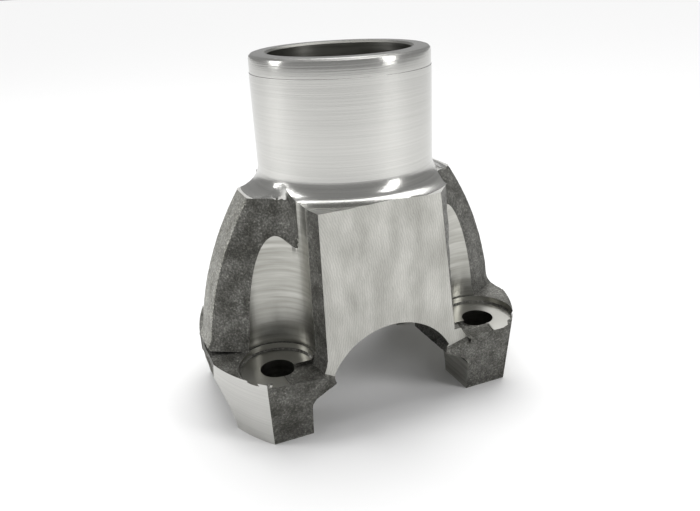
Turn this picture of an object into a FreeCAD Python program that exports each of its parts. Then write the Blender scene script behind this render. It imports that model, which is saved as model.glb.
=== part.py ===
"""Forged end yoke of a propeller shaft: one steel forging, machined where it works.

The yoke stands on its four bolting feet. Z runs up through the hub, X from ear to ear
and Y through the throat between the ears. The origin lies on the hub's axis, in the
plane of the feet. Millimetres. The two sides of the forging are the same when it is
turned half a turn about Z, and most of it is also the same front to back.
"""
import FreeCAD, Part
import math
import os

V = FreeCAD.Vector

# Hub and its bore
SEAL_DIAMETER = 69.85        # ground band that the oil seal runs on
HUB_TOP = 137.8              # face of the hub above the feet
RIM_ROUND = 1.8              # outer edge of the hub's face
RIM_FLATS = 3                # turned as this many fine flats
LEAD_IN_LENGTH = 6.8         # slightly smaller band above the seal band
LEAD_IN_STEP = 0.2
FILLET_RADIUS = 7.8          # turned hollow between hub and shoulder
FILLET_FLATS = 6
SHOULDER_Z = 87.2            # flat turned shoulder
COUNTERBORE_DIAMETER = 55.3
COUNTERBORE_DEPTH = 16.0
BORE_CHAMFER = 0.8
SPLINE_TEETH = 39
SPLINE_ROOT_DIAMETER = 44.45  # outer ends of the grooves
SPLINE_TIP_DIAMETER = 41.4
SPLINE_GROOVE_TIP = 1.95     # width of a groove at the tooth tips
SPLINE_GROOVE_ROOT = 1.25    # and at its outer end
NUT_SEAT_Z = 44.0            # flat that the pinion nut's washer bears on
NUT_SEAT_DIAMETER = 54.0     # room for the nut and its socket

# Body between the ears
FACE_HALF = 40.0             # milled front and back faces
BODY_EDGE = 27.4             # half width of the milled face
WALL_DRAFT = 0.17            # the side walls widen by this towards the parting plane
EASE_WIDTH = 6.2             # corner left rounded by the die, at the shoulder
EASE_DEPTH = 9.0
EASE_END_Z = 30.0            # where the eased corner runs out

# Ribs over the ears
RIB_REACH_TOP = 43.8         # reach of the rib from the axis, at the shoulder
RIB_REACH_MID = 57.6
RIB_MID_Z = 60.2
RIB_REACH_FOOT = 64.0
RIB_FOOT_Z = 34.0
RIB_FOOT_ROUND = 10.0        # the rib sweeps out over the ear
RIB_FOOT_TURN = 30.0         # by this many degrees
RIB_HALF = 8.0               # half width of the rib's outer band
RIB_FLARE = 0.58             # the rib's sides widen towards the body
RIB_ROUND = 3.0
RIB_ROOT = 21.3              # the ribs run into the body as far as this
POCKET_ROUND = 8.5           # hollow corner between rib and body

# Ears
EAR_RADIUS_TOP = 68.0        # turned outside of the ears, at the bolt seats
EAR_RADIUS_FOOT = 65.4
EAR_FLAT = 66.0              # forged end of the ears, where it stays inside the turned cone
EAR_HALF_TOP = 43.3          # front faces of the ears lean in downwards
EAR_HALF_FOOT = 40.7
EAR_CORNER = 12.0            # rounded upright corners of the ears
END_START = (-EAR_FLAT, 6.0)   # the left ear's end is rounded behind its rib,
END_MIDDLE = (-62.6, 22.0)     # on an arc through these three points (X and Y)
END_FINISH = (-53.6, 44.5)
LEDGE_Z = 28.8               # forged top of the ears beside the ribs
LEDGE_FALL = 2.8             # the ledge falls away to the rim on one side of each ear
LEDGE_FALL_START = 46.0
MILL_STOP_Z = 24.2           # lower end of the milled faces, at their outer corners
MILL_STOP_FALL = 2.3         # how far it falls towards the throat
MILL_STOP_LEAN = 0.8         # the ears swell out below it at this slope
WEB_HALF = 33.3              # the milled face widens to this, below the eased corner
WEB_START_Z = 41.0           # where it starts to widen
WEB_BOW = 0.25               # share of the widening that is reached half way down
WEB_SHARP_HALF = 28.9        # the same below the sharp corner
WEB_SHARP_START_Z = 31.0

# Bolting
HOLE_DIAMETER = 12.9
HOLE_SPACING_X = 88.9
HOLE_SPACING_Y = 60.33
SEAT_Z = 25.8                # spotface under the nut
SEAT_DIAMETER = 29.2
SEAT_CORNER = 0.8            # corner left by the spotfacing cutter
CHANNEL_DIAMETER = 31.0      # clearance above the ledge for the nut and its socket

# Bearing saddles and throat
SADDLE_DIAMETER = 47.63      # bearing cap
SADDLE_AXIS_Z = -1.0         # the cap's axis lies just under the feet
THROAT_RADIUS = 28.0
THROAT_CENTRE_Z = 10.0
ARCH_HALF = 24.9             # where the arch ends
THROAT_SHIFT = -1.3          # the walls below the arch sit a little to one side of it
LIP_HALF = 23.6              # lips under the arch's ends
LIP_Z = 20.2
SHELF_OUTER = 32.1           # sloping underside that leads to the ears' inner faces
SHELF_OUTER_Z = 15.5
INNER_WALL = 34.1            # machined inner faces of the ears
INNER_WALL_Z = 12.5

# Worked out from the sizes above
BLANK_FOOT = LEDGE_Z - 1.0   # underside of the body before the ears are added
HUB_RADIUS = SEAL_DIAMETER / 2
HOLE_X = HOLE_SPACING_X / 2
HOLE_Y = HOLE_SPACING_Y / 2
BLANK_TOP = SHOULDER_Z + FILLET_RADIUS   # top of the body before it is turned
LEVEL = 0.1                  # edges that rise less than this count as level
CLOSE = 0.001                # points nearer than this to a face count as on it
CLEAR = 12.0                 # how far a cut runs past the part
FAR = EAR_RADIUS_TOP + CLEAR
ORIGIN = V(0, 0, 0)
UP = V(0, 0, 1)


def line(a, b):
    return Part.LineSegment(V(*a), V(*b)).toShape()


def arc_through(a, middle, b):
    return Part.Arc(V(*a), V(*middle), V(*b)).toShape()


def round_corner(centre, radius, start, end):
    """An arc in the XZ plane about (x, z), from one angle in degrees to another."""
    def at(angle):
        turn = math.radians(angle)
        return centre[0] + radius * math.cos(turn), 0, centre[1] + radius * math.sin(turn)
    return arc_through(at(start), at((start + end) / 2), at(end))


def fine_flats(centre, radius, start, end, flats):
    """An arc turned as equal flats, which stay within a tenth of a millimetre of it."""
    points = []
    for number in range(flats + 1):
        turn = math.radians(start + (end - start) * number / flats)
        points.append((centre[0] + radius * math.cos(turn), 0, centre[1] + radius * math.sin(turn)))
    return [line(a, b) for a, b in zip(points, points[1:])]


def outline_face(points):
    """A flat face with straight edges."""
    corners = [V(*p) for p in points]
    return Part.Face(Part.makePolygon(corners + corners[:1]))


def prism(points, along):
    return outline_face(points).extrude(V(*along))


def revolved(edges):
    """A closed outline in the XZ plane, turned round the hub's axis."""
    return Part.Face(Part.Wire(edges)).revolve(ORIGIN, UP, 360)


def half_turn(shape):
    """The shape turned half a turn round the hub's axis."""
    other = shape.copy()
    other.rotate(ORIGIN, UP, 180)
    return other


def at_each_hole(tool):
    """Copies of a tool that is made on the Z axis, one over each bolt hole."""
    copies = []
    for x in (-HOLE_X, HOLE_X):
        for y in (-HOLE_Y, HOLE_Y):
            copy = tool.copy()
            copy.translate(V(x, y, 0))
            copies.append(copy)
    return copies


def turned_envelope():
    """All that the lathe leaves: the hub, its hollow fillet, the shoulder and the ears' ends."""
    top_radius = HUB_RADIUS - LEAD_IN_STEP
    lead_z = HUB_TOP - LEAD_IN_LENGTH
    fillet_z = SHOULDER_Z + FILLET_RADIUS
    fillet_centre = (HUB_RADIUS + FILLET_RADIUS, fillet_z)
    rim_centre = (top_radius - RIM_ROUND, HUB_TOP - RIM_ROUND)
    spread = (EAR_RADIUS_TOP - EAR_RADIUS_FOOT) / SEAT_Z
    cone_top = EAR_RADIUS_FOOT + spread * SHOULDER_Z
    return revolved([
        line((0, 0, 0), (EAR_RADIUS_FOOT, 0, 0)),
        line((EAR_RADIUS_FOOT, 0, 0), (cone_top, 0, SHOULDER_Z)),
        line((cone_top, 0, SHOULDER_Z), (fillet_centre[0], 0, SHOULDER_Z)),
        *fine_flats(fillet_centre, FILLET_RADIUS, 270, 180, FILLET_FLATS),
        line((HUB_RADIUS, 0, fillet_z), (HUB_RADIUS, 0, lead_z - LEAD_IN_STEP)),
        line((HUB_RADIUS, 0, lead_z - LEAD_IN_STEP), (top_radius, 0, lead_z)),
        line((top_radius, 0, lead_z), (top_radius, 0, rim_centre[1])),
        *fine_flats(rim_centre, RIM_ROUND, 0, 90, RIM_FLATS),
        line((rim_centre[0], 0, HUB_TOP), (0, 0, HUB_TOP)),
        line((0, 0, HUB_TOP), (0, 0, 0)),
    ])


def core():
    """The body between the ears, with drafted side walls and two eased corners."""
    middle = BODY_EDGE + WALL_DRAFT * FACE_HALF
    block = prism([
        (-BODY_EDGE, -FACE_HALF, BLANK_FOOT), (BODY_EDGE, -FACE_HALF, BLANK_FOOT),
        (middle, 0, BLANK_FOOT), (BODY_EDGE, FACE_HALF, BLANK_FOOT),
        (-BODY_EDGE, FACE_HALF, BLANK_FOOT), (-middle, 0, BLANK_FOOT),
    ], (0, 0, BLANK_TOP - BLANK_FOOT))
    ease = eased_corner()
    return block.cut([ease, half_turn(ease)])


def eased_corner():
    """The wedge missing from the front right corner, which shrinks to nothing lower down."""
    growth = (BLANK_TOP - EASE_END_Z) / (SHOULDER_Z - EASE_END_Z)
    tip = V(BODY_EDGE, -FACE_HALF, EASE_END_Z)
    width, depth = EASE_WIDTH * growth, EASE_DEPTH * growth
    corner = V(BODY_EDGE, -FACE_HALF, BLANK_TOP)
    along_face = corner - V(width, 0, 0)
    along_wall = corner + V(WALL_DRAFT * depth, depth, 0)
    # the wedge is carried outwards, well clear of the corner
    out = V(CLEAR, -CLEAR, 0)
    cut_face = Part.Face(Part.makePolygon([tip, along_face, along_wall, tip]))
    return cut_face.extrude(out)


def rib_face():
    """The rib's side view: a bowed edge that sweeps out over the ear at its foot."""
    bow = Part.Arc(
        V(RIB_REACH_FOOT, 0, RIB_FOOT_Z), V(RIB_REACH_MID, 0, RIB_MID_Z),
        V(RIB_REACH_TOP, 0, SHOULDER_Z))
    top_lean = bow.tangent(bow.LastParameter)[0]
    top = bow.EndPoint + top_lean * ((BLANK_TOP - SHOULDER_Z) / top_lean.z)
    # the sweep starts along the bow and then turns outwards
    lean = bow.tangent(bow.FirstParameter)[0]
    upright = math.degrees(math.atan2(lean.z, lean.x))
    centre = bow.StartPoint + V(lean.z, 0, -lean.x) * RIB_FOOT_ROUND
    start, end = upright + 90, upright + 90 + RIB_FOOT_TURN
    sweep = round_corner((centre.x, centre.z), RIB_FOOT_ROUND, start, end)
    sweep_end = sweep.Vertexes[-1].Point
    run = math.radians(end - 90)
    foot = sweep_end - V(math.cos(run), 0, math.sin(run)) * (
        (sweep_end.z - BLANK_FOOT) / math.sin(run))
    corners = [
        bow.EndPoint, top, V(RIB_ROOT, 0, BLANK_TOP), V(RIB_ROOT, 0, BLANK_FOOT), foot, sweep_end]
    sides = [Part.makeLine(p, q) for p, q in zip(corners, corners[1:])]
    return Part.Face(Part.Wire(Part.sortEdges([bow.toShape(), sweep] + sides)[0]))


def rib():
    """One rib: a band of even width, with sides that flare towards the body."""
    face = rib_face()
    reach = RIB_REACH_FOOT - RIB_ROOT
    middle = face.copy()
    middle.translate(V(0, -RIB_HALF, 0))
    solid = middle.extrude(V(0, 2 * RIB_HALF, 0))
    for side in (-1, 1):
        flank = face.copy()
        flank.translate(V(0, side * RIB_HALF, 0))
        solid = solid.fuse(flank.extrude(V(-reach, side * RIB_FLARE * reach, 0)))
    solid = solid.removeSplitter()
    outer = [e for e in solid.Edges if is_rib_edge(e)]
    return solid.makeFillet(RIB_ROUND, outer)


def is_rib_edge(edge):
    """True for the long edges that border the rib's outer band."""
    ends = [v.Point for v in edge.Vertexes]
    on_side = all(abs(abs(p.y) - RIB_HALF) < CLOSE for p in ends)
    outside = all(p.x > RIB_REACH_TOP - FILLET_RADIUS for p in ends)
    return on_side and outside and abs(ends[0].z - ends[-1].z) > LEVEL


def ears():
    """The slab that holds all four feet: leaning faces, rounded corners, falling ledges."""
    lean = (EAR_HALF_TOP - EAR_HALF_FOOT) / SEAT_Z
    top_half = EAR_HALF_FOOT + lean * LEDGE_Z
    slab = prism([
        (-EAR_FLAT, -EAR_HALF_FOOT, 0), (-EAR_FLAT, EAR_HALF_FOOT, 0),
        (-EAR_FLAT, top_half, LEDGE_Z), (-EAR_FLAT, -top_half, LEDGE_Z),
    ], (2 * EAR_FLAT, 0, 0))
    upright = [e for e in slab.Edges if abs(e.Vertexes[0].Z - e.Vertexes[-1].Z) > SEAT_Z]
    slab = slab.makeFillet(EAR_CORNER, upright)
    fall = LEDGE_FALL / (EAR_RADIUS_TOP - LEDGE_FALL_START) * (FAR - LEDGE_FALL_START)
    wedge = prism([
        (-LEDGE_FALL_START, 0, LEDGE_Z), (-FAR, 0, LEDGE_Z - fall),
        (-FAR, 0, LEDGE_Z + CLEAR), (-LEDGE_FALL_START, 0, LEDGE_Z + CLEAR),
    ], (0, -FAR, 0))
    return slab.cut([wedge, half_turn(wedge), rounded_end()])


def rounded_end():
    """What the die leaves off the left ear's end, behind the rib."""
    start, middle, finish = [(x, y, -CLEAR) for x, y in (END_START, END_MIDDLE, END_FINISH)]
    outer = [finish, (-FAR, finish[1], -CLEAR), (-FAR, start[1], -CLEAR), start]
    edges = [line(a, b) for a, b in zip(outer, outer[1:])]
    edges.append(arc_through(start, middle, finish))
    return Part.Face(Part.Wire(Part.sortEdges(edges)[0])).extrude(V(0, 0, LEDGE_Z + 2 * CLEAR))


def beside_body(side, foot_half, start_z):
    """What is missing beside the body's front corner: the milled face widens down to here."""
    middle_half = BODY_EDGE + WEB_BOW * (foot_half - BODY_EDGE)
    middle_z = (start_z + MILL_STOP_Z) / 2
    curve = arc_through(
        (side * BODY_EDGE, 0, start_z), (side * middle_half, 0, middle_z),
        (side * foot_half, 0, MILL_STOP_Z))
    rim = [(foot_half, MILL_STOP_Z), (HOLE_X, SEAT_Z), (HOLE_X, start_z), (BODY_EDGE, start_z)]
    edges = [curve] + [
        line((side * a[0], 0, a[1]), (side * b[0], 0, b[1])) for a, b in zip(rim, rim[1:])]
    face = Part.Face(Part.Wire(Part.sortEdges(edges)[0]))
    # the tool follows the draft of the body's side wall
    start = V(-side * WALL_DRAFT * CLEAR, -FACE_HALF - CLEAR, 0)
    face.translate(start)
    length = CLEAR + FACE_HALF - HOLE_Y
    return face.extrude(V(side * WALL_DRAFT * length, length, 0))


def mill_stop():
    """What the milling of the front face takes off the ears; they swell out below it."""
    low = MILL_STOP_Z - MILL_STOP_FALL
    return prism([
        (-ARCH_HALF, -FACE_HALF, low), (ARCH_HALF, -FACE_HALF, low),
        (WEB_HALF, -FACE_HALF, MILL_STOP_Z), (WEB_HALF, -FACE_HALF, LEDGE_Z + CLEAR),
        (-WEB_SHARP_HALF, -FACE_HALF, LEDGE_Z + CLEAR), (-WEB_SHARP_HALF, -FACE_HALF, MILL_STOP_Z),
    ], (0, -CLEAR, -MILL_STOP_LEAN * CLEAR))


def throat():
    """The arch between the ears, the lips below it and the ears' inner faces."""
    arch_z = THROAT_CENTRE_Z + math.sqrt(THROAT_RADIUS ** 2 - ARCH_HALF ** 2)
    below = [
        (LIP_HALF, LIP_Z), (SHELF_OUTER, SHELF_OUTER_Z),
        (INNER_WALL, INNER_WALL_Z), (INNER_WALL, -CLEAR),
    ]
    right = [(ARCH_HALF, arch_z)] + [(THROAT_SHIFT + x, z) for x, z in below]
    left = [(THROAT_SHIFT - x, z) for x, z in reversed(below)] + [(-ARCH_HALF, arch_z)]
    path = right + left
    edges = [line((a[0], 0, a[1]), (b[0], 0, b[1])) for a, b in zip(path, path[1:])]
    edges.append(arc_through(
        (-ARCH_HALF, 0, arch_z), (0, 0, THROAT_CENTRE_Z + THROAT_RADIUS), (ARCH_HALF, 0, arch_z)))
    face = Part.Face(Part.Wire(edges))
    face.translate(V(0, -FAR, 0))
    return face.extrude(V(0, 2 * FAR, 0))


def saddles():
    """The half-round seats for the two bearing caps, bored through both ears in line."""
    return Part.makeCylinder(
        SADDLE_DIAMETER / 2, 2 * FAR, V(-FAR, 0, SADDLE_AXIS_Z), V(1, 0, 0))


def bolt_seats():
    """Bolt holes, spotfaces with a broken corner, and the channels above the ledges."""
    hole = Part.makeCylinder(HOLE_DIAMETER / 2, FAR, V(0, 0, -CLEAR))
    seat_radius = SEAT_DIAMETER / 2
    height = SHOULDER_Z + CLEAR - SEAT_Z
    seat = Part.makeCylinder(seat_radius, height, V(0, 0, SEAT_Z))
    floor = [e for e in seat.Edges if abs(e.BoundBox.ZMax - SEAT_Z) < CLOSE]
    seat = seat.makeChamfer(SEAT_CORNER, floor)
    channel = Part.makeCylinder(
        CHANNEL_DIAMETER / 2, SHOULDER_Z + CLEAR - LEDGE_Z, V(0, 0, LEDGE_Z))
    return at_each_hole(hole) + at_each_hole(seat) + at_each_hole(channel)


def bore():
    """Counterbore, splined bore and nut seat, as one tool on the hub's axis."""
    counter_radius = COUNTERBORE_DIAMETER / 2
    tip_radius = SPLINE_TIP_DIAMETER / 2
    shelf_z = HUB_TOP - COUNTERBORE_DEPTH
    nut_radius = NUT_SEAT_DIAMETER / 2
    root_radius = SPLINE_ROOT_DIAMETER / 2
    lead = root_radius - tip_radius + BORE_CHAMFER
    mouth_radius = counter_radius + BORE_CHAMFER
    path = [
        (0, 0), (nut_radius, 0), (nut_radius, NUT_SEAT_Z), (tip_radius + lead, NUT_SEAT_Z),
        (tip_radius, NUT_SEAT_Z + lead), (tip_radius, shelf_z - lead), (tip_radius + lead, shelf_z),
        (counter_radius, shelf_z), (counter_radius, HUB_TOP - BORE_CHAMFER),
        (mouth_radius, HUB_TOP), (mouth_radius, HUB_TOP + CLEAR), (0, HUB_TOP + CLEAR), (0, 0),
    ]
    return revolved([line((a[0], 0, a[1]), (b[0], 0, b[1])) for a, b in zip(path, path[1:])])


def spline_grooves():
    """The grooves of the straight-sided spline, each one a tapered bar along the bore."""
    root_radius = SPLINE_ROOT_DIAMETER / 2
    start_radius = SPLINE_TIP_DIAMETER / 2 - BORE_CHAMFER
    low, high = NUT_SEAT_Z - BORE_CHAMFER, HUB_TOP - COUNTERBORE_DEPTH + BORE_CHAMFER
    groove = prism([
        (start_radius, -SPLINE_GROOVE_TIP / 2, low), (root_radius, -SPLINE_GROOVE_ROOT / 2, low),
        (root_radius, SPLINE_GROOVE_ROOT / 2, low), (start_radius, SPLINE_GROOVE_TIP / 2, low),
    ], (0, 0, high - low))
    grooves = []
    for number in range(SPLINE_TEETH):
        copy = groove.copy()
        copy.rotate(ORIGIN, UP, 360 * number / SPLINE_TEETH)
        grooves.append(copy)
    return grooves


def forging():
    """Body, ribs and ears as they come from the dies, with the turning done."""
    ribs = rib()
    body = core().fuse([ribs, half_turn(ribs)]).removeSplitter()
    corners = [e for e in body.Edges if is_pocket_corner(e)]
    body = body.makeFillet(POCKET_ROUND, corners)
    ends = Part.makeBox(2 * EAR_FLAT, 2 * FAR, HUB_TOP, V(-EAR_FLAT, -FAR, 0))
    hub = Part.makeCylinder(HUB_RADIUS, HUB_TOP - LEDGE_Z, V(0, 0, LEDGE_Z))
    sides = [
        beside_body(1, WEB_HALF, WEB_START_Z), beside_body(-1, WEB_SHARP_HALF, WEB_SHARP_START_Z)]
    slab = ears().cut(sides + [half_turn(side) for side in sides])
    return body.fuse([hub, slab]).common(ends).common(turned_envelope())


def is_pocket_corner(edge):
    """True for the long edges where the ribs' flanks meet the body's side walls."""
    ends = [v.Point for v in edge.Vertexes]
    wall_x = [BODY_EDGE + WALL_DRAFT * (FACE_HALF - abs(p.y)) for p in ends]
    on_wall = all(abs(abs(p.x) - x) < CLOSE for p, x in zip(ends, wall_x))
    on_flank = all(RIB_HALF < abs(p.y) < HOLE_Y for p in ends)
    return on_wall and on_flank and abs(ends[0].z - ends[-1].z) > LEVEL


def yoke():
    part = forging()
    mill = mill_stop()
    part = part.cut([mill, half_turn(mill)])
    part = part.cut([throat(), saddles()] + bolt_seats())
    part = part.cut(bore())
    part = part.cut(spline_grooves())
    return part.removeSplitter().Solids[0]


def main():
    os.makedirs("parts", exist_ok=True)
    part = yoke()
    part.exportStep("parts/yoke.step")
    box = part.BoundBox
    print("yoke", part.isValid(), round(part.Volume, 1))
    print("box", [round(v, 3) for v in (box.XMin, box.XMax, box.YMin, box.YMax, box.ZMin, box.ZMax)])


main()
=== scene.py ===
# %% [markdown]
# A forged end yoke: one steel forging with a turned hub, two ribbed ears and milled faces.
# The solid is already made, so this file gives it its skins. The frame is loaded first,
# because every size below is read from it or stated in millimetres beside it.

# %% Load the frame
import bpy
import math
import numpy as np
from mathutils import Matrix, Vector


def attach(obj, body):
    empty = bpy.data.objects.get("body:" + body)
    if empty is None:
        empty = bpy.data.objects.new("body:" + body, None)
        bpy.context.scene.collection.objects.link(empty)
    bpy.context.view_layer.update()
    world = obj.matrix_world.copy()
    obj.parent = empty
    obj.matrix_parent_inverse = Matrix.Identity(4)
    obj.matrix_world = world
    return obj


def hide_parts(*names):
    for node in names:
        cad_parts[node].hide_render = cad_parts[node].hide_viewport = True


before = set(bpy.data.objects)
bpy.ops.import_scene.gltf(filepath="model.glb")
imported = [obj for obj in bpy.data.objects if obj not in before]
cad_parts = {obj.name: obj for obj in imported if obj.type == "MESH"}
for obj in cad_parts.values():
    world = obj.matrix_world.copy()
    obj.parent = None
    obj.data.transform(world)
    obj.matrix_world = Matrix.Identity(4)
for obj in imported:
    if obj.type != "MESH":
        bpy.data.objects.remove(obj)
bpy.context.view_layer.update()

MM = 0.001

# %% [markdown]
# The solid's mesh is loose triangles. A copy is merged, so that neighbours share their
# corners: only then can a long edge be split on both sides at once, and a surface be
# pushed in without tearing.

# %% Merge a copy of the solid
def merged_triangles(source):
    """Points in mm, each one once, and triangles as rows of three point numbers."""
    mesh = source.data
    points = np.zeros(len(mesh.vertices) * 3)
    mesh.vertices.foreach_get("co", points)
    mesh.calc_loop_triangles()
    corners = np.zeros(len(mesh.loop_triangles) * 3, int)
    mesh.loop_triangles.foreach_get("vertices", corners)
    keys = np.round(points.reshape(-1, 3) / MM, 3)
    shared, number = np.unique(keys, axis=0, return_inverse=True)
    triangles = number.reshape(-1)[corners].reshape(-1, 3)
    a, b, c = triangles.T
    return shared, triangles[(a != b) & (b != c) & (c != a)]


points, triangles = merged_triangles(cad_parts["yoke"])
print(len(points), "points and", len(triangles), "triangles")

# %% [markdown]
# A forging is machined only where it works. Each triangle gets one of a few finishes from
# its place and the way it faces: the same rules that a machinist's drawing would state.

# %% Sort the triangles by finish
FORGED, HUB, MILLED, MACHINED, EAR_END, BORE, RIB_BAND_SMOOTH_AND_PAINTED_LIT, SHOULDER = range(8)
FINISH_COUNT = 8

# places on the yoke, in mm
HOLE_X, HOLE_Y = 44.45, 30.165       # bolt holes
SEAT_Z = 25.8                        # spotfaces
LEDGE_Z = 28.8                       # forged top of the ears
SHOULDER_Z = 87.2                    # turned shoulder
HUB_TOP = 137.8
FACE_HALF = 40                       # milled faces, front and back
SADDLE_AXIS_Z = -1
SADDLE_START, SADDLE_TOP = 30, 23    # the saddles lie beyond and below these
WALL_REACH, WALL_TOP = 37, 12.6      # inner faces of the ears
BAND_HALF, BAND_START = 7.6, 42      # outer band of a rib

# radii just past the surface that they tell apart
HOLLOW_RADIUS = 42.8                 # turned hollow at the hub's foot
EAR_RADIUS = 64.8                    # turned ends of the ears, which lie beyond
CHANNEL_RADIUS = 15.6                # clearance round a bolt's nut
HOLE_RADIUS = 6.6
SADDLE_RADIUS = 23.95
BORE_RADIUS = 28.6
BODY_RADIUS = 35                     # the channels lie outside it
NUT_ROOM_Z = 35                      # height above which the bore's walls count as bored
NEAR = 0.05                          # how close counts as on a surface
ALONG, ACROSS = 0.99, 0.05           # a normal's share along an axis, when on it and off it


def facing(points, triangles):
    """Unit normal of each triangle: the cross product of two of its sides, made one long."""
    a, b, c = (points[triangles[:, i]] for i in range(3))
    normal = np.cross(b - a, c - a)
    return normal / np.maximum(np.linalg.norm(normal, axis=1), 1e-12)[:, None]


def facing_hole(x, y, nx, ny):
    """True where a wall looks back at the bolt hole that it was cut round."""
    dx = np.sign(x) * HOLE_X - x
    dy = np.sign(y) * HOLE_Y - y
    return (nx * dx + ny * dy) > 0.97 * np.hypot(dx, dy)


def finish_of(points, triangles):
    """The finish of each triangle, from its centre, its distance from each axis and its normal."""
    x, y, z = points[triangles].mean(1).T
    nx, ny, nz = facing(points, triangles).T
    radius = np.hypot(x, y)
    outward = (nx * x + ny * y) / np.maximum(radius, 1e-9)
    from_hole = np.hypot(np.abs(x) - HOLE_X, np.abs(y) - HOLE_Y)
    from_saddle = np.hypot(y, z - SADDLE_AXIS_Z)
    finish = np.full(len(triangles), FORGED)

    # the ribs' outer bands: a smoother skin, and painted lighter as if lit, in a material of their
    # own
    band = (np.abs(y) < BAND_HALF) & (np.abs(x) > BAND_START) & (z > LEDGE_Z) & (nx * x > 0)
    finish[band] = RIB_BAND_SMOOTH_AND_PAINTED_LIT
    round_end = (radius > EAR_RADIUS) & (outward > 0.97) & (np.abs(nx) < 0.999)
    finish[round_end & (z < LEDGE_Z + 0.1)] = EAR_END
    finish[(np.abs(np.abs(y) - FACE_HALF) < NEAR) & (np.abs(ny) > ALONG)] = MILLED
    finish[(z > SHOULDER_Z - NEAR) & (radius < HOLLOW_RADIUS)] = HUB
    finish[(np.abs(z - SHOULDER_Z) < NEAR) & (nz > ALONG)] = SHOULDER

    beside_bolt = (from_hole > HOLE_RADIUS) & (from_hole < CHANNEL_RADIUS) & (radius > BODY_RADIUS)
    beside_bolt &= (z > SEAT_Z - NEAR) & (z < SHOULDER_Z)
    wall = facing_hole(x, y, nx, ny) & ((nz > ALONG) | (np.abs(nz) < ACROSS))
    seat = (nz > ALONG) & (z < SEAT_Z + 0.1)
    finish[beside_bolt & (wall | seat)] = MACHINED

    saddle = (from_saddle < SADDLE_RADIUS) & (np.abs(x) > SADDLE_START) & (z < SADDLE_TOP)
    finish[saddle] = MACHINED
    finish[(np.abs(nx) > ALONG) & (np.abs(x) < WALL_REACH) & (z < WALL_TOP)] = MACHINED
    finish[z < 0.01] = MACHINED
    finish[(from_hole < HOLE_RADIUS) & (np.abs(nz) < 0.1)] = BORE
    inside = (radius < BORE_RADIUS) & (z > NUT_ROOM_Z) & (z < HUB_TOP - 0.01)
    finish[inside & (outward < 0.5)] = BORE
    return finish


finish = finish_of(points, triangles)
print("triangles of each finish:", np.bincount(finish, minlength=FINISH_COUNT))

# %% [markdown]
# Machined edges are crisp. They are marked sharp before anything is pushed about, where two
# triangles meet at a steep angle, or where one finish gives way to another.

# %% Find the crisp edges
CRISP = math.cos(math.radians(27))
CRISP_BETWEEN_FINISHES = math.cos(math.radians(9))


def edge_table(triangles):
    """Every edge once, as sorted point numbers, and the rows of each triangle's three edges."""
    ends = np.sort(triangles[:, [[0, 1], [1, 2], [2, 0]]], axis=2).reshape(-1, 2)
    code = ends[:, 0].astype(np.int64) * (triangles.max() + 1) + ends[:, 1]
    _, first, row = np.unique(code, return_index=True, return_inverse=True)
    return ends[first], row.reshape(-1, 3)


def crisp_edges(points, triangles, finish):
    """The edges whose two triangles turn by more than the limit, as pairs of point numbers."""
    edges, rows = edge_table(triangles)
    normal = facing(points, triangles)
    owner = np.full((len(edges), 2), -1)
    order = np.arange(len(triangles)).repeat(3)
    flat = rows.reshape(-1)
    owner[flat, 0] = order
    owner[flat[::-1], 1] = order[::-1]
    turn = np.einsum("ij,ij->i", normal[owner[:, 0]], normal[owner[:, 1]])
    changes = finish[owner[:, 0]] != finish[owner[:, 1]]
    return edges[(turn < CRISP) | (changes & (turn < CRISP_BETWEEN_FINISHES))]


crisp = crisp_edges(points, triangles, finish)
print(len(crisp), "crisp edges")

# %% [markdown]
# The forged skin needs small triangles to carry its grain, and the machined faces don't.
# Edges longer than their finish allows are halved, again and again, and each triangle is
# cut into two, three or four, so that no gap opens beside an uncut one.

# %% Split the long edges
PLAIN_EDGE, SKIN_EDGE, ROUND_EDGE = 9.0, 1.15, 12.0    # longest edges allowed, in mm
LONGEST = np.full(FINISH_COUNT, PLAIN_EDGE)
LONGEST[[FORGED, RIB_BAND_SMOOTH_AND_PAINTED_LIT]] = SKIN_EDGE
LONGEST[[HUB, BORE]] = ROUND_EDGE


def halve_long_edges(points, triangles, finish, crisp):
    """One round of halving. Returns the new mesh, and whether anything was cut."""
    edges, rows = edge_table(triangles)
    allowed = np.full(len(edges), np.inf)
    np.minimum.at(allowed, rows, LONGEST[finish][:, None].repeat(3, 1))
    length = np.linalg.norm(points[edges[:, 0]] - points[edges[:, 1]], axis=1)
    cut = length > allowed
    if not cut.any():
        return points, triangles, finish, crisp, False
    middle = np.full(len(edges), -1)
    middle[cut] = len(points) + np.arange(cut.sum())
    size = len(points) + 1
    code = edges[:, 0].astype(np.int64) * size + edges[:, 1]
    sharp = np.isin(code, crisp[:, 0].astype(np.int64) * size + crisp[:, 1])
    halved = edges[sharp & cut]
    centre = middle[sharp & cut]
    crisp = np.vstack([
        edges[sharp & ~cut], np.column_stack([halved[:, 0], centre]),
        np.column_stack([halved[:, 1], centre])])
    points = np.vstack([points, points[edges[cut]].mean(1)])
    # turn each triangle until its pattern of cut sides is one of four
    mids = middle[rows]
    count = (mids >= 0).sum(1)
    start = np.where(count == 1, np.argmax(mids >= 0, 1), np.argmin(mids >= 0, 1))
    turn = (start[:, None] + np.arange(3)) % 3
    a, b, c = np.take_along_axis(triangles, turn, 1).T
    ab, bc, ca = np.take_along_axis(mids, turn, 1).T
    parts = [
        (count == 0, [(a, b, c)]),
        (count == 1, [(a, ab, c), (ab, b, c)]),
        (count == 2, [(c, ca, bc), (a, b, bc), (a, bc, ca)]),
        (count == 3, [(a, ab, ca), (ab, b, bc), (ca, bc, c), (ab, bc, ca)]),
    ]
    pieces = [np.column_stack(t)[kind] for kind, made in parts for t in made]
    kinds = [finish[kind] for kind, made in parts for t in made]
    return points, np.vstack(pieces), np.concatenate(kinds), crisp, True


cutting = True
while cutting:
    points, triangles, finish, crisp, cutting = halve_long_edges(points, triangles, finish, crisp)
print("after splitting:", len(points), "points and", len(triangles), "triangles")

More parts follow.
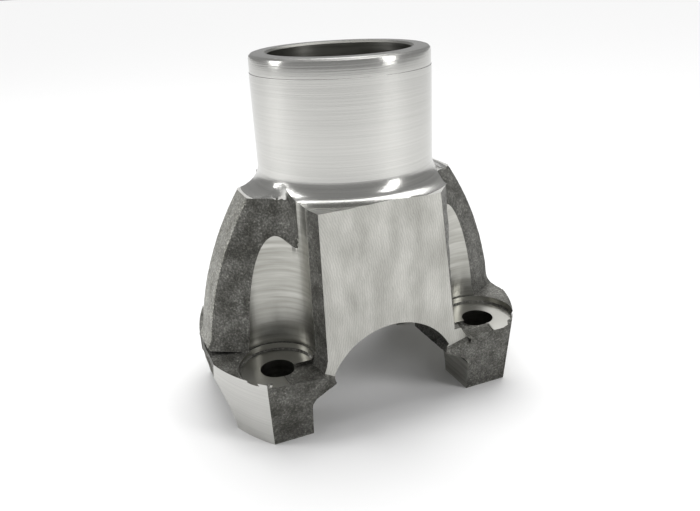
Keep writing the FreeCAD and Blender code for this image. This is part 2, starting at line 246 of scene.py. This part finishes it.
# %% [markdown]
# Scale and shot blasting leave a forging pitted and faintly lumpy. Two sizes of lattice
# noise are cut into the skin along its own normals. They only ever take metal away, so
# the yoke keeps its true size, and points on a machined edge stay where they are.

# %% Cut the grain into the forged skin
PITS_CELL, PITS_DEPTH = 1.5, 0.26      # mm
LUMPS_CELL, LUMPS_DEPTH = 6.0, 0.32
BAND_SHARE = 0.45                      # the ribs' outer bands are smoother by this
APART = 500                            # keeps the two noises from lining up
SITE_PRIMES = (73856093, 19349663, 83492791)
MIXING_PRIME = 2654435761


def lattice_noise(places, cell):
    """Smooth noise from 0 to 1: random values on a cubic lattice, blended between 8 corners.

    A corner's value comes from its three whole numbers, multiplied by primes and mixed, so
    it is the same on every run.
    """
    scaled = places / cell
    low = np.floor(scaled).astype(np.int64)
    part = scaled - low
    part = part * part * (3 - 2 * part)
    total = np.zeros(len(places))
    for corner in np.ndindex(2, 2, 2):
        site = low + np.array(corner)
        x, y, z = (site * SITE_PRIMES).T
        mixed = ((x ^ y ^ z) * MIXING_PRIME) % 2 ** 32
        value = ((mixed >> 8) % 2 ** 16) / (2 ** 16 - 1)
        weight = np.where(np.array(corner) == 1, part, 1 - part).prod(1)
        total += value * weight
    return total


def push_in_skin(points, triangles, finish):
    """Moves the points inside the forged skin against its normal, by the two noises' sum."""
    skin = (finish == FORGED) | (finish == RIB_BAND_SMOOTH_AND_PAINTED_LIT)
    normal = facing(points, triangles)
    summed = np.zeros_like(points)
    for corner in range(3):
        np.add.at(summed, triangles[skin, corner], normal[skin])
    summed /= np.maximum(np.linalg.norm(summed, axis=1), 1e-9)[:, None]
    inside = np.zeros(len(points), bool)
    inside[triangles[skin].reshape(-1)] = True
    inside[triangles[~skin].reshape(-1)] = False
    share = np.ones(len(points))
    share[triangles[finish == RIB_BAND_SMOOTH_AND_PAINTED_LIT].reshape(-1)] = BAND_SHARE
    pits = PITS_DEPTH * lattice_noise(points, PITS_CELL)
    lumps = LUMPS_DEPTH * lattice_noise(points + APART, LUMPS_CELL)
    return points - summed * ((pits + lumps) * inside * share)[:, None]


points = push_in_skin(points, triangles, finish)

# %% [markdown]
# The arrays now become one mesh. The finishes are material slots, so one piece can be
# forged in one place and ground in another, as the real forging is.

# %% Put the surface into a mesh
def dressed_object(name, points, triangles, finish, crisp):
    """A smooth-shaded mesh with its crisp edges marked and each face's material index set to its
    finish.
    """
    mesh = bpy.data.meshes.new(name)
    mesh.from_pydata((points * MM).tolist(), [], triangles.tolist())
    mesh.polygons.foreach_set("material_index", finish.astype(np.int32))
    mesh.polygons.foreach_set("use_smooth", np.ones(len(triangles), bool))
    ends = np.zeros(len(mesh.edges) * 2, np.int64)
    mesh.edges.foreach_get("vertices", ends)
    ends = np.sort(ends.reshape(-1, 2), axis=1)
    crisp = np.sort(crisp, axis=1)
    size = len(points) + 1
    sharp = np.isin(ends[:, 0] * size + ends[:, 1], crisp[:, 0] * size + crisp[:, 1])
    marks = mesh.attributes.new("sharp_edge", "BOOLEAN", "EDGE")
    marks.data.foreach_set("value", sharp)
    mesh.update()
    made = bpy.data.objects.new(name, mesh)
    bpy.context.scene.collection.objects.link(made)
    return made


skin = dressed_object("yoke_dressed", points, triangles, finish, crisp)
print("the dressed yoke has", len(skin.data.polygons), "faces")

# %% [markdown]
# Each finish is one material. They all start from the object's own coordinates in
# millimetres, so a pattern keeps its real size and stays on the metal from every side.

# %% Helpers for the materials
class Finish:
    """A material's nodes: a Principled shader and helpers that add patterns to it."""

    def __init__(self, name, metallic, roughness):
        self.material = bpy.data.materials.new(name)
        self.material.use_nodes = True
        self.nodes = self.material.node_tree.nodes
        self.links = self.material.node_tree.links
        self.shader = self.nodes["Principled BSDF"]
        self.shader.inputs["Metallic"].default_value = metallic
        self.shader.inputs["Roughness"].default_value = roughness
        self.place = self.nodes.new("ShaderNodeTexCoord").outputs["Object"]

    def mapped(self, scale, location=(0, 0, 0)):
        node = self.nodes.new("ShaderNodeMapping")
        node.inputs["Scale"].default_value = scale
        node.inputs["Location"].default_value = location
        self.links.new(self.place, node.inputs["Vector"])
        return node.outputs["Vector"]

    def noise(self, scale, detail=4, stretch=(1, 1, 1)):
        """Noise with `scale` cells per metre, drawn out along an axis where stretch is small."""
        node = self.nodes.new("ShaderNodeTexNoise")
        node.inputs["Scale"].default_value = scale
        node.inputs["Detail"].default_value = detail
        self.links.new(self.mapped(stretch), node.inputs["Vector"])
        return node.outputs["Fac"]

    def ramp(self, value, stops):
        """A colour ramp; stops are (place, (red, green, blue))."""
        node = self.nodes.new("ShaderNodeValToRGB")
        for number, (place, colour) in enumerate(stops):
            stops_made = node.color_ramp.elements
            stop = stops_made[number] if number < 2 else stops_made.new(place)
            stop.position = place
            stop.color = (*colour, 1)
        self.links.new(value, node.inputs["Fac"])
        return node.outputs["Color"]

    def multiplied(self, factor, first, second):
        """The first colour darkened by the second, as far as factor says."""
        node = self.nodes.new("ShaderNodeMix")
        node.data_type = "RGBA"
        node.blend_type = "MULTIPLY"
        node.inputs["Factor"].default_value = factor
        self.links.new(first, node.inputs[6])
        self.links.new(second, node.inputs[7])
        return node.outputs[2]

    def colour(self, value):
        self.links.new(value, self.shader.inputs["Base Color"])

    def gloss(self, value):
        self.links.new(value, self.shader.inputs["Roughness"])

    def bump(self, height, depth_mm, strength):
        node = self.nodes.new("ShaderNodeBump")
        node.inputs["Strength"].default_value = strength
        node.inputs["Distance"].default_value = depth_mm * MM
        self.links.new(height, node.inputs["Height"])
        self.links.new(node.outputs["Normal"], self.shader.inputs["Normal"])


def grey(level, warmth=0.0):
    """A grey a little warmer, or olive, as warmth grows."""
    return level * (1 + 0.3 * warmth), level * (1 + 0.2 * warmth), level * (1 - 0.6 * warmth)


# %% [markdown]
# A blasted forging is dark and grainy. Blotches some millimetres wide are multiplied by grain
# specks, whose brightest stop, above white, paints glints of pits catching the light; the gloss
# varies with a third noise.

# %% The forged skin
def forged_skin(name, dark, light, roughness):
    made = Finish(name, 0.8, roughness)
    blotch_stops = [(0.35, grey(dark, 0.15)), (0.68, grey(light, 0.1))]
    # specks up to 1 are the skin's grain; the stop at 1.9 brightens the colour past white as
    # painted glints
    grain_and_glint_stops = [(0.42, grey(0.45)), (0.66, grey(1.0)), (0.72, grey(1.9))]
    gloss_stops = [(0.3, grey(roughness + 0.12)), (0.7, grey(roughness - 0.14))]
    blotches = made.ramp(made.noise(160, 5), blotch_stops)
    grain_and_painted_glints = made.ramp(made.noise(1300, 3), grain_and_glint_stops)
    made.colour(made.multiplied(0.9, blotches, grain_and_painted_glints))
    made.gloss(made.ramp(made.noise(900, 2), gloss_stops))
    made.bump(made.noise(1500, 6), 0.5, 0.9)
    return made.material


# %% [markdown]
# A lathe leaves fine rings. A noise that is drawn out round the axis and tight along it
# gives them to the hub, its shoulder and the ears' ends, all with the same few nodes.

# %% The turned and ground steel
def turned_steel(name, level, roughness, groove_mm, warmth=0.05):
    """Metal of one grey level with fine rings, as deep as groove_mm."""
    made = Finish(name, 1.0, roughness)
    rings = made.noise(60, 3, (0.25, 0.25, 55))
    made.colour(made.ramp(rings, [(0.3, grey(level * 0.86, warmth)), (0.7, grey(level, warmth))]))
    made.bump(rings, groove_mm, 0.5)
    return made.material


# %% [markdown]
# A wide face cutter leaves curved marks. They are rings about a line far to one side of
# the yoke, parallel to Y, broken up by patches of noise so that no mark runs evenly.

# %% The milled faces
def milled_steel():
    """Wide curved cutter marks across the face, with broken streaks along them."""
    made = Finish("milled_face", 0.9, 0.42)
    marks = made.nodes.new("ShaderNodeTexWave")
    marks.wave_type = "RINGS"
    marks.rings_direction = "Y"
    marks.inputs["Scale"].default_value = 330
    marks.inputs["Distortion"].default_value = 6
    marks.inputs["Detail"].default_value = 4
    marks.inputs["Detail Scale"].default_value = 1.5
    made.links.new(made.mapped((1, 1, 1), (0.11, 0, -0.05)), marks.inputs["Vector"])
    streaks = made.ramp(marks.outputs["Fac"], [(0.1, grey(0.78)), (0.8, grey(1.0))])
    patch_stops = [(0.3, grey(0.36, 0.1)), (0.7, grey(0.56, 0.08))]
    patches = made.ramp(made.noise(75, 6, (1.6, 1, 0.7)), patch_stops)
    made.colour(made.multiplied(0.6, patches, streaks))
    made.bump(marks.outputs["Fac"], 0.06, 0.6)
    return made.material


# %% [markdown]
# Drills, spotfacers and boring bars leave coarser marks that run round the tool, which is
# nearly level on all of these walls. Noise squeezed along Z stands for them.

# %% The drilled, spotfaced and bored surfaces
def cut_steel(name, level, roughness):
    made = Finish(name, 1.0, roughness)
    marks = made.noise(70, 5, (0.5, 0.5, 9))
    made.colour(made.ramp(marks, [(0.3, grey(level * 0.6, 0.12)), (0.7, grey(level, 0.08))]))
    made.bump(marks, 0.12, 0.5)
    return made.material


materials = {
    FORGED: forged_skin("forged_skin", dark=0.11, light=0.25, roughness=0.5),
    HUB: turned_steel("ground_hub", 0.56, 0.2, 0.05),
    MILLED: milled_steel(),
    MACHINED: cut_steel("machined_seats", 0.5, 0.3),
    EAR_END: turned_steel("turned_ear_ends", 0.6, 0.42, 0.03),
    # painted shade: the bore and bolt holes are the seats' cut steel made darker for the shade
    # inside them
    BORE: cut_steel("bored_steel_painted_shade", 0.32, 0.3),
    # painted light: the rib bands are the same forged skin in lighter greys, a lit copy of it
    RIB_BAND_SMOOTH_AND_PAINTED_LIT: forged_skin("rib_band_painted_light", dark=0.3, light=0.5, roughness=0.46),
    SHOULDER: turned_steel("turned_shoulder", 0.7, 0.36, 0.03),
}
for number in range(FINISH_COUNT):
    skin.data.materials.append(materials[number])
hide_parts("yoke")
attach(skin, "root")
print("materials:", [material.name for material in skin.data.materials])

# %% [markdown]
# The picture is a plain product shot: a white floor and an even pale surround.

# %% The floor and the surround
FLOOR_HALF = 12.0
floor_mesh = bpy.data.meshes.new("floor")
floor_mesh.from_pydata([
    (-FLOOR_HALF, -FLOOR_HALF, 0), (FLOOR_HALF, -FLOOR_HALF, 0),
    (FLOOR_HALF, FLOOR_HALF, 0), (-FLOOR_HALF, FLOOR_HALF, 0)], [], [(0, 1, 2, 3)])
floor = bpy.data.objects.new("floor", floor_mesh)
bpy.context.scene.collection.objects.link(floor)
floor_paint = Finish("floor_paper", 0.0, 0.9)
floor_paint.shader.inputs["Base Color"].default_value = (0.86, 0.86, 0.86, 1)
floor_mesh.materials.append(floor_paint.material)

world = bpy.data.worlds.new("surround")
bpy.context.scene.world = world
world.use_nodes = True
world.node_tree.nodes["Background"].inputs["Color"].default_value = (1, 1, 1, 1)
world.node_tree.nodes["Background"].inputs["Strength"].default_value = 0.35


# %% [markdown]
# Two narrow upright lights give the hub its highlights. A wide sun keeps the floor evenly
# white without brightening what the metal reflects.

# %% The lights
def soft_light(name, place, size, power):
    """An area light at a place in metres that looks at the middle of the yoke."""
    data = bpy.data.lights.new(name, "AREA")
    data.shape = "RECTANGLE"
    data.size, data.size_y = size
    data.energy = power
    light = bpy.data.objects.new(name, data)
    light.location = place
    aim = Vector((0, 0, 0.07)) - Vector(place)
    light.rotation_euler = aim.to_track_quat("-Z", "Y").to_euler()
    bpy.context.scene.collection.objects.link(light)


soft_light("left_light", (-0.75, 0.25, 0.55), (0.25, 0.8), 3.0)
soft_light("right_light", (0.5, -0.6, 0.5), (0.2, 0.7), 2.5)

even_data = bpy.data.lights.new("even_light", "SUN")
even_data.energy = 2.6
even_data.angle = math.radians(60)
even_light = bpy.data.objects.new("even_light", even_data)
even_light.rotation_euler = Vector((-0.25, -0.45, -1)).to_track_quat("-Z", "Y").to_euler()
bpy.context.scene.collection.objects.link(even_light)

# %% [markdown]
# The camera looks down on the left front corner. Its turn is built from three angles: the
# way it faces, how far it looks down and how far it leans.

# %% The camera
CAMERA_PLACE = Vector((-105.49, -259.09, 164.78)) * MM
YAW, PITCH, ROLL = (math.radians(a) for a in (22.159, 21.876, -3.010))
forward = Vector((
    math.sin(YAW) * math.cos(PITCH), math.cos(YAW) * math.cos(PITCH), -math.sin(PITCH)))
level = Vector((math.cos(YAW), -math.sin(YAW), 0))
upward = level.cross(forward)
right = level * math.cos(ROLL) + upward * math.sin(ROLL)
up = upward * math.cos(ROLL) - level * math.sin(ROLL)
turning = Matrix((right, up, -forward)).transposed().to_4x4()
lens = bpy.data.cameras.new("camera")
lens.sensor_width = 36
lens.lens = 36.475
lens.clip_start = 0.01
camera = bpy.data.objects.new("camera", lens)
camera.matrix_world = Matrix.Translation(CAMERA_PLACE) @ turning
bpy.context.scene.collection.objects.link(camera)
bpy.context.scene.camera = camera
bpy.context.scene.view_settings.view_transform = "Standard"
